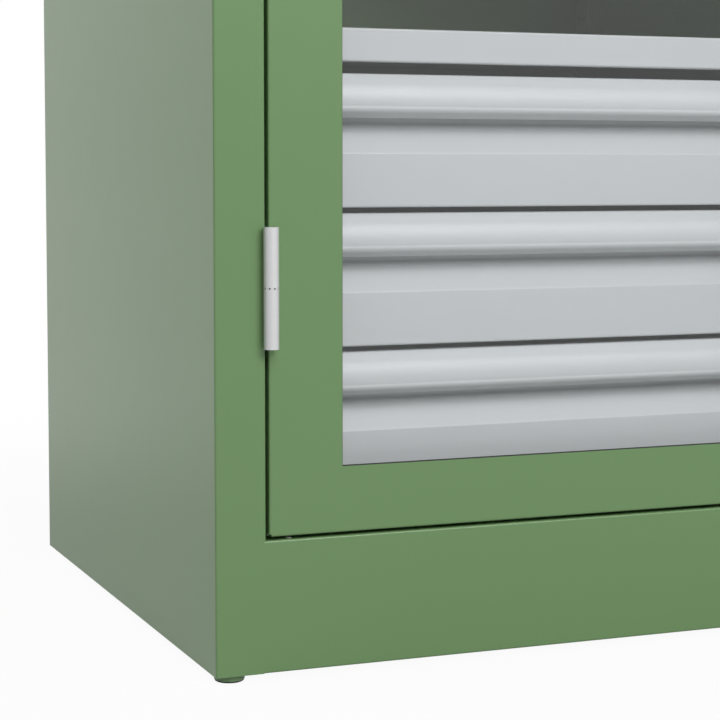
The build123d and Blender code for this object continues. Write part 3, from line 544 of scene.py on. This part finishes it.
@dataclass
class DrawerFronts:
    """Fronts of the drawers, each one folded sheet with its rolled handle. Sizes in millimetres."""

    finishes: Finishes
    sheet: float = 1.2
    hem: float = 12.0
    face_height: float = 48.7
    recess_top: float = 42.5
    recess_depth: float = 21.0
    handle_set_back: float = 5.6
    handle_bulge: float = 5.3
    bulge_drop: float = 17.0
    handle_waist: float = 4.1
    waist_drop: float = 28.4
    handle_foot: float = 4.9
    foot_drop: float = 32.0
    lip_depth: float = 8.0
    lip_drop: float = 37.2
    reach: float = 4.6  # most forward line of the CAD node to the lower face
    bends: tuple[float, ...] = (2.0, 2.0, 5.0, 2.0, 2.0, 30.0, 3.0, 3.6)  # radii along the fold line
    bend_facets: int = 14

    def fold_line(self, top: float) -> list[tuple[float, float]]:
        """Gives the corners of the sheet's outer face.

        Args:
            top: Height of the front, in millimetres.

        Returns:
            Depths behind the lower face and heights above the bottom, in millimetres.
        """
        return [
            (self.hem, 0.0),
            (0.0, 0.0),
            (0.0, self.face_height),
            (self.recess_depth, top - self.recess_top),
            (self.recess_depth, top),
            (self.handle_set_back, top),
            (-self.handle_bulge, top - self.bulge_drop),
            (-self.handle_waist, top - self.waist_drop),
            (-self.handle_foot, top - self.foot_drop),
            (self.lip_depth, top - self.lip_drop),
        ]

    def build(self, body: Body) -> None:
        """Builds one drawer's front in place of its CAD node.

        Args:
            body: Body of the drawer.
        """
        node = f"{body.value}_front"
        low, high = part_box(node)
        face = low + REAR * (self.reach * MM)
        top = (high.z - low.z) / MM
        shape = Shape()
        corners = [face + Vector((0, y * MM, z * MM)) for y, z in self.fold_line(top)]
        self.fold(shape, corners, high.x - low.x)
        self.close_ends(shape, low.x, high.x, face, top)
        bmesh.ops.solidify(shape.bm, geom=shape.bm.faces[:], thickness=self.sheet * MM)
        shape.piece(f"{body.value}_rolled_front", body, self.finishes, Slot.LIGHT_GREY, [node])

    def fold(self, shape: Shape, corners: list[Vector], width: float) -> None:
        """Folds the sheet along its corners and rounds each bend.

        Args:
            shape: Mesh that takes the sheet.
            corners: Corners of the fold line at the sheet's left end.
            width: Length of the sheet in metres.
        """
        bm = shape.bm
        verts = [bm.verts.new(corner) for corner in corners]
        chain = [bm.edges.new(pair) for pair in zip(verts, verts[1:])]
        grown = bmesh.ops.extrude_edge_only(bm, edges=chain)["geom"]
        right_end = [v for v in grown if isinstance(v, BMVert)]
        bmesh.ops.translate(bm, verts=right_end, vec=RIGHT * width)
        bmesh.ops.recalc_face_normals(bm, faces=bm.faces)
        if self.faces_inwards(bm, corners):
            bmesh.ops.reverse_faces(bm, faces=bm.faces[:])
        for corner, before, after, radius in zip(corners[1:-1], corners, corners[2:], self.bends):
            turn = (corner - before).angle(after - corner)
            bend = [
                edge
                for edge in bm.edges
                if len(edge.link_faces) == 2
                and all((v.co - corner).yz.length < TOLERANCE for v in edge.verts)
            ]
            shape.soften(bend, radius * MM * math.tan(turn / 2), self.bend_facets)

    def faces_inwards(self, bm: bmesh.types.BMesh, corners: list[Vector]) -> bool:
        """Says whether the lower face's normal points back into the drawer.

        Args:
            bm: Mesh of the folded sheet.
            corners: Corners of the fold line.

        Returns:
            True if the faces must be turned round.
        """
        middle = (corners[1] + corners[2]) / 2
        lower = min(bm.faces, key=lambda face: (face.calc_center_median() - middle).yz.length)
        return lower.normal.y > 0

    def close_ends(self, shape: Shape, left: float, right: float, face: Vector, top: float) -> None:
        """Closes the ends of the face below the recess.

        Args:
            shape: Mesh that takes the end plates.
            left: Place of the left end.
            right: Place of the right end.
            face: Foot of the lower face.
            top: Height of the front, in millimetres.
        """
        outline = [
            (self.sheet, self.sheet),
            (self.sheet, self.face_height),
            (self.recess_depth + self.sheet, top - self.recess_top),
            (self.recess_depth + self.sheet, self.sheet),
        ]
        for x, outwards in ((left, -1), (right, 1)):
            verts = [shape.bm.verts.new((x, face.y + y * MM, face.z + z * MM)) for y, z in outline]
            for plate in bmesh.ops.contextual_create(shape.bm, geom=verts)["faces"]:
                plate.normal_update()
                if plate.normal.x * outwards < 0:
                    plate.normal_flip()


@dataclass
class Fasteners:
    """Cap nuts of the pane's strips, with their washers. Sizes in millimetres."""

    finishes: Finishes
    across_flats: float = 7.0
    height: float = 3.0
    chamfer: float = 0.4
    dome: Profile = ((0, 3), (3.1, 3), (3.1, 3.4), (2.6, 4.2), (1.6, 4.8), (0, 5))
    dome_sides: int = 12
    washer: Profile = ((0, 0), (5.2, 0), (5.2, 0.6), (0, 0.6))
    washer_sides: int = 16
    side_rows: tuple[float, ...] = (-363.1, -181.55, 0.0, 181.55, 363.1)
    level_rows: tuple[float, ...] = (-204.0, -68.0, 68.0, 204.0)
    side_inset: float = 4.0
    level_inset: float = 3.5

    def build(self) -> None:
        """Builds all nuts in place of their CAD node."""
        low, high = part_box("clamp_nuts")
        middle = (low + high) / 2
        half = (high - low) / 2 - Vector((self.side_inset, 0, self.level_inset)) * MM
        shape = Shape()
        for side in (-1, 1):
            for z in self.side_rows:
                self.nut(shape, Vector((middle.x + side * half.x, low.y, middle.z + z * MM)))
            for x in self.level_rows:
                self.nut(shape, Vector((middle.x + x * MM, low.y, middle.z + side * half.z)))
        shape.piece("clamp_cap_nuts", Body.DOOR, self.finishes, Slot.GALVANISED, ["clamp_nuts"])

    def nut(self, shape: Shape, foot: Vector) -> None:
        """Adds one domed cap nut on its washer.

        Args:
            shape: Mesh that takes the nut.
            foot: Middle of the washer's lower face.
        """
        edges = shape.hexagon(foot, REAR, self.across_flats, self.height)
        half_way = foot.y + self.height / 2 * MM
        upper = [edge for edge in edges if all(vert.co.y > half_way for vert in edge.verts)]
        shape.soften(upper, self.chamfer * MM, segments=1)
        shape.turned(foot, REAR, self.dome, self.dome_sides)
        shape.turned(foot, REAR, self.washer, self.washer_sides)


@dataclass
class HingeRings:
    """Thin bearing rings between the hinges' knuckles. Sizes in millimetres and degrees."""

    finishes: Finishes
    gap: float = 1.4
    set_back: float = 0.05
    notches: int = 9
    walls_per_notch: int = 3
    notch_depth: float = 1.2
    notch_border: float = 0.02
    first_notch: float = 38.8
    # black core inside the ring: painted shade that darkens the notches
    shade_core_radius: float = 5.6
    shade_core_sides: int = 40

    def build(self) -> None:
        """Builds the ring of each hinge."""
        for name in ("lower", "upper"):
            self.ring(name)

    def ring(self, name: str) -> None:
        """Builds one notched ring in the gap of a hinge, and a black core inside it that paints the shade
        seen in its notches.

        Args:
            name: Which hinge.
        """
        body_low, body_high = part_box(f"{name}_hinge_body_half")
        door_low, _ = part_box(f"{name}_hinge_door_half")
        radius = (body_high.x - body_low.x) / 2
        centre = Vector((body_low.x + radius, body_low.y + radius, body_high.z - self.gap * MM))
        height = door_low.z - centre.z
        shape, shade_core = Shape(), Shape()
        # the black core is painted shade behind the notches, not a real part of the hinge
        shade_core.cylinder(centre, UP, self.shade_core_radius * MM, height, self.shade_core_sides)
        sides = self.notches * self.walls_per_notch
        shape.cylinder(centre, UP, radius - self.set_back * MM, height, sides)
        self.notch(shape.bm, centre)
        shape.piece(f"{name}_hinge_ring", Body.CABINET, self.finishes, Slot.ZINC)
        shade_core.piece(f"{name}_hinge_shade_core", Body.CABINET, self.finishes, Slot.BLACK_RUBBER)

    def notch(self, bm: bmesh.types.BMesh, centre: Vector) -> None:
        """Turns the ring until its first notch is in place, and sinks the notches.

        Args:
            bm: Mesh of the ring.
            centre: Middle of the ring's lower end.
        """
        walls = [face for face in bm.faces if abs(face.normal.z) < 0.5]
        first = math.radians(self.first_notch)
        turn = Matrix.Rotation(first - self.heading(walls[0], centre), 3, "Z")
        bmesh.ops.rotate(bm, verts=bm.verts, cent=centre, matrix=turn)
        notched = []
        for wall in walls:
            phase = self.notches * (self.heading(wall, centre) - first)
            if math.cos(phase) > 0:
                notched.append(wall)
        LOG.info("hinge ring: %d notches", len(notched))
        bmesh.ops.inset_individual(
            bm, faces=notched, thickness=self.notch_border * MM, depth=-self.notch_depth * MM
        )

    def heading(self, face: BMFace, centre: Vector) -> float:
        """Gives the direction of a wall's middle, seen from above.

        Args:
            face: Wall of the ring.
            centre: Middle of the ring.

        Returns:
            The angle from the X axis in radians.
        """
        offset = face.calc_center_median() - centre
        return math.atan2(offset.y, offset.x)


@dataclass
class Feet:
    """Turned foot pads with black rubber soles, whose dark also stands in for the shade along the pads'
    lower rim, and the lock nuts of their studs. Sizes in millimetres.
    """

    finishes: Finishes
    radius: float = 13.5
    front_inset: float = 17.5
    rear_inset: float = 24.0
    pad: Profile = ((0, 1.6), (13.2, 1.6), (13.5, 2.0), (13.5, 6.2), (12.7, 7), (0, 7))
    # black rubber sole under the pad; its dark also paints the shade on the foot's lower rim
    sole_and_rim_shade: Profile = ((0, 0), (11.8, 0), (12.8, 0.6), (13.1, 1.6), (0, 1.6))
    sides: int = 48
    nut: float = 17.0
    nut_height: float = 6.0
    nut_chamfer: float = 0.8

    def build(self) -> None:
        """Builds the pads in place of their CAD node, the black soles that also paint the shade of the
        lower rim, and the lock nuts on the corner plates.
        """
        low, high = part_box("foot_pads")
        _, plate_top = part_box("corner_plates")
        radius = self.radius * MM
        step = (self.rear_inset - self.front_inset) * MM
        pads, soles_and_rim_shade, nuts = Shape(), Shape(), Shape()
        for y, half in ((low.y + radius, high.x - radius), (high.y - radius, high.x - radius - step)):
            for x in (-half, half):
                pads.turned(Vector((x, y, low.z)), UP, self.pad, self.sides)
                soles_and_rim_shade.turned(Vector((x, y, low.z)), UP, self.sole_and_rim_shade, self.sides)
                self.lock_nut(nuts, Vector((x, y, plate_top.z)))
        pads.piece("turned_foot_pads", Body.CABINET, self.finishes, Slot.BODY_GREEN, ["foot_pads"])
        # the soles' black is partly a rubber sole and partly painted shade on the lower rim
        soles_and_rim_shade.piece("foot_soles_and_rim_shade", Body.CABINET, self.finishes, Slot.BLACK_RUBBER)
        nuts.piece("foot_lock_nuts", Body.CABINET, self.finishes, Slot.GALVANISED)

    def lock_nut(self, shape: Shape, foot: Vector) -> None:
        """Adds one hexagon nut with chamfered rims.

        Args:
            shape: Mesh that takes the nut.
            foot: Middle of the nut's lower face.
        """
        edges = shape.hexagon(foot, UP, self.nut, self.nut_height)
        rims = [edge for edge in edges if abs(edge.verts[0].co.z - edge.verts[1].co.z) < TOLERANCE]
        shape.soften(rims, self.nut_chamfer * MM, segments=1)


@dataclass
class SillGlides:
    """Domed glide buttons under the door. Sizes in millimetres."""

    finishes: Finishes
    radius: float = 3.0
    button: Profile = ((0, 0), (3, 0), (3, 0.7), (2.7, 1.1), (2.0, 1.32), (1.0, 1.4), (0, 1.4))
    sides: int = 24

    def build(self) -> None:
        """Builds both buttons in place of their CAD node."""
        low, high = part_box("sill_glides")
        shape = Shape()
        for x in (low.x + self.radius * MM, high.x - self.radius * MM):
            shape.turned(Vector((x, (low.y + high.y) / 2, low.z)), UP, self.button, self.sides)
        shape.piece("domed_sill_glides", Body.CABINET, self.finishes, Slot.GREY_PLASTIC, ["sill_glides"])


@dataclass
class KeyPlug:
    """Key plug of the lock with its keyway. Sizes in millimetres."""

    CUT_TOLERANCE = TOLERANCE / 10
    FLAT = 0.99  # least share of a flat face's normal that points forwards

    finishes: Finishes
    sides: int = 40
    edge: float = 0.5
    edge_facets: int = 3
    keyway_width: float = 2.0
    keyway_height: float = 7.0
    keyway_depth: float = 2.0

    def build(self) -> None:
        """Builds the plug in place of its CAD node."""
        low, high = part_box("lock_plug")
        centre = Vector(((low.x + high.x) / 2, low.y, (low.z + high.z) / 2))
        shape = Shape()
        bm = shape.bm
        shape.cylinder(centre, REAR, (high.x - low.x) / 2, high.y - low.y, self.sides)
        rim = [edge for edge in bm.edges if all(vert.co.y < centre.y + TOLERANCE for vert in edge.verts)]
        shape.soften(rim, self.edge * MM, self.edge_facets)
        for across, size in ((RIGHT, self.keyway_width), (UP, self.keyway_height)):
            for side in (-1, 1):
                front = self.front_faces(bm)
                bmesh.ops.bisect_plane(
                    bm,
                    geom=front + list({edge for face in front for edge in face.edges}),
                    plane_co=centre + across * (side * size / 2 * MM),
                    plane_no=across,
                    dist=self.CUT_TOLERANCE,
                )
        keyway = min(self.front_faces(bm), key=lambda face: (face.calc_center_median() - centre).length)
        sunk = bmesh.ops.extrude_face_region(bm, geom=[keyway])["geom"]
        deeper = [v for v in sunk if isinstance(v, BMVert)]
        bmesh.ops.translate(bm, verts=deeper, vec=REAR * (self.keyway_depth * MM))
        bmesh.ops.delete(bm, geom=[keyway], context="FACES_ONLY")
        shape.piece("keyed_lock_plug", Body.KEY_PLUG, self.finishes, Slot.ZINC, ["lock_plug"])

    def front_faces(self, bm: bmesh.types.BMesh) -> list[BMFace]:
        """Gives the flat faces that look forwards."""
        return [face for face in bm.faces if face.normal.y < -self.FLAT]


def largest(tree: bpy.types.NodeTree, values: Sequence[bpy.types.NodeSocket]) -> bpy.types.NodeSocket:
    """Takes the largest of several values.

    Args:
        tree: Node tree that takes the nodes.
        values: Sockets of the values.

    Returns:
        The socket of the largest value.
    """
    result = values[0]
    for value in values[1:]:
        node = tree.nodes.new("ShaderNodeMath")
        node.operation = "MAXIMUM"
        tree.links.new(result, node.inputs[0])
        tree.links.new(value, node.inputs[1])
        result = node.outputs[0]
    return result


@dataclass(frozen=True)
class PaleFloor:
    """Matt pale floor that turns into the white background away from the cabinet. Sizes in metres."""

    name: str
    tone: Colour
    deep_tone: Colour
    cloud_scale: float = 3.0
    gloss_scale: float = 12.0
    smoothest: float = 0.88
    roughest: float = 0.92
    specular: float = 0.1
    fade_start: float = 0.55
    fade_end: float = 1.8
    white_shares: Triple = (0.95, 0.5, 0.95)  # beside the cabinet, for each of the background's rays

    def material(self) -> bpy.types.Material:
        """Builds the floor's material.

        Returns:
            The material.
        """
        shader = Shader(self.name)
        where = shader.coordinates()
        clouds = shader.noise(where, self.cloud_scale)
        shader.drive("Base Color", shader.tones(clouds, self.deep_tone, self.tone))
        gloss = shader.noise(where, self.gloss_scale)
        shader.drive("Roughness", shader.spread(gloss, self.smoothest, self.roughest))
        shader.set(specular_ior_level=self.specular)
        self.fade(shader, where)
        return shader.material

    def fade(self, shader: Shader, where: bpy.types.NodeSocket) -> None:
        """Blends the floor into plain white with the distance from the cabinet.

        Args:
            shader: Material of the floor.
            where: Coordinates on the floor.
        """
        tree = shader.material.node_tree
        distance = tree.nodes.new("ShaderNodeVectorMath")
        distance.operation = "LENGTH"
        tree.links.new(where, distance.inputs[0])
        path = tree.nodes.new("ShaderNodeLightPath")
        whites = []
        for ray, share in zip(BACKGROUND_RAYS, self.white_shares):
            ring = tree.nodes.new("ShaderNodeMapRange")
            ring.interpolation_type = "SMOOTHSTEP"
            ring.inputs["From Min"].default_value = self.fade_start
            ring.inputs["From Max"].default_value = self.fade_end
            ring.inputs["To Min"].default_value = share
            tree.links.new(distance.outputs["Value"], ring.inputs["Value"])
            seen = tree.nodes.new("ShaderNodeMath")
            seen.operation = "MULTIPLY"
            tree.links.new(ring.outputs["Result"], seen.inputs[0])
            tree.links.new(path.outputs[ray], seen.inputs[1])
            whites.append(seen.outputs[0])
        white = tree.nodes.new("ShaderNodeEmission")
        blend = tree.nodes.new("ShaderNodeMixShader")
        tree.links.new(largest(tree, whites), blend.inputs["Fac"])
        tree.links.new(shader.principled.outputs["BSDF"], blend.inputs[1])
        tree.links.new(white.outputs["Emission"], blend.inputs[2])
        tree.links.new(blend.outputs["Shader"], tree.nodes["Material Output"].inputs["Surface"])


@dataclass(frozen=True)
class Softbox:
    """Square softbox. Place and size in metres, power in watts."""

    name: str
    place: Triple
    size: float
    power: float


@dataclass
class Studio:
    """Floor, background, lamps and camera. Sizes in metres, angles in degrees, lens in millimetres."""

    lens: float = 97.62
    sensor: float = 36.0
    pitch: float = 4.0
    yaw: float = 21.656
    eye: Triple = (-0.8471, -1.8994, 0.4459)
    rise: float = -0.0751  # shift of the frame, in widths of the frame
    view_range: tuple[float, float] = (0.05, 100.0)
    fill: float = 0.12  # strength of the background where it lights the cabinet
    floor_size: float = 40.0
    floor_cells: int = 8
    aim: Triple = (0.0, -0.3, 0.45)
    softboxes: tuple[Softbox, ...] = (
        Softbox("key_softbox", (0.7, -3.92, 3.03), 2.3, 127.0),
        Softbox("right_softbox", (2.1, -3.67, 2.56), 1.6, 28.0),
        Softbox("high_softbox", (-0.72, -2.98, 4.0), 1.6, 42.0),
        Softbox("left_softbox", (-2.04, 0.65, 4.35), 1.6, 105.0),
    )

    def build(self) -> None:
        """Builds the whole studio."""
        self.floor()
        self.background()
        for softbox in self.softboxes:
            self.lamp(softbox)
        self.camera()

    def background(self) -> None:
        """Makes the world white where it is seen, and dimmer where it lights the object."""
        world = bpy.data.worlds.new("studio")
        bpy.context.scene.world = world
        world.use_nodes = True
        tree = world.node_tree
        sky = tree.nodes["Background"]
        path = tree.nodes.new("ShaderNodeLightPath")
        seen = largest(tree, [path.outputs[ray] for ray in BACKGROUND_RAYS])
        level = tree.nodes.new("ShaderNodeMapRange")
        level.inputs["To Min"].default_value = self.fill
        level.inputs["To Max"].default_value = 1.0
        tree.links.new(seen, level.inputs["Value"])
        sky.inputs["Color"].default_value = (1.0, 1.0, 1.0, 1.0)
        tree.links.new(level.outputs["Result"], sky.inputs["Strength"])

    def floor(self) -> None:
        """Lays the floor with its finish."""
        bm = bmesh.new()
        cells = self.floor_cells
        bmesh.ops.create_grid(bm, x_segments=cells, y_segments=cells, size=self.floor_size / 2)
        mesh = bpy.data.meshes.new("floor")
        bm.to_mesh(mesh)
        bm.free()
        plate = bpy.data.objects.new("floor", mesh)
        bpy.context.scene.collection.objects.link(plate)
        mesh.materials.append(PaleFloor("pale_floor", (0.51, 0.51, 0.51), (0.50, 0.50, 0.50)).material())

    def lamp(self, softbox: Softbox) -> None:
        """Hangs one softbox, aimed at the cabinet.

        Args:
            softbox: The softbox.
        """
        light = bpy.data.lights.new(softbox.name, "AREA")
        light.shape = "SQUARE"
        light.size = softbox.size
        light.energy = softbox.power
        lamp = bpy.data.objects.new(softbox.name, light)
        lamp.location = softbox.place
        beam = Vector(self.aim) - Vector(softbox.place)
        lamp.rotation_euler = beam.to_track_quat("-Z", "Y").to_euler()
        bpy.context.scene.collection.objects.link(lamp)

    def camera(self) -> None:
        """Sets up the camera of the photograph."""
        lens = bpy.data.cameras.new("camera")
        lens.lens = self.lens
        lens.sensor_width = self.sensor
        lens.shift_y = self.rise
        lens.clip_start, lens.clip_end = self.view_range
        eye = bpy.data.objects.new("camera", lens)
        eye.location = self.eye
        eye.rotation_euler = (math.radians(90.0 - self.pitch), 0.0, -math.radians(self.yaw))
        bpy.context.scene.collection.objects.link(eye)
        bpy.context.scene.camera = eye


def main() -> None:
    """Builds the finishes, the pieces and the studio in order."""
    logging.basicConfig(level=logging.INFO, format="%(message)s")
    bpy.context.scene.view_settings.view_transform = "Standard"
    finishes = Finishes()
    finishes.dress_nodes()
    fronts = DrawerFronts(finishes)
    for body in (Body.DRAWER_1, Body.DRAWER_2, Body.DRAWER_3):
        fronts.build(body)
    Fasteners(finishes).build()
    HingeRings(finishes).build()
    Feet(finishes).build()
    SillGlides(finishes).build()
    KeyPlug(finishes).build()
    Studio().build()


if __name__ == "__main__":
    main()
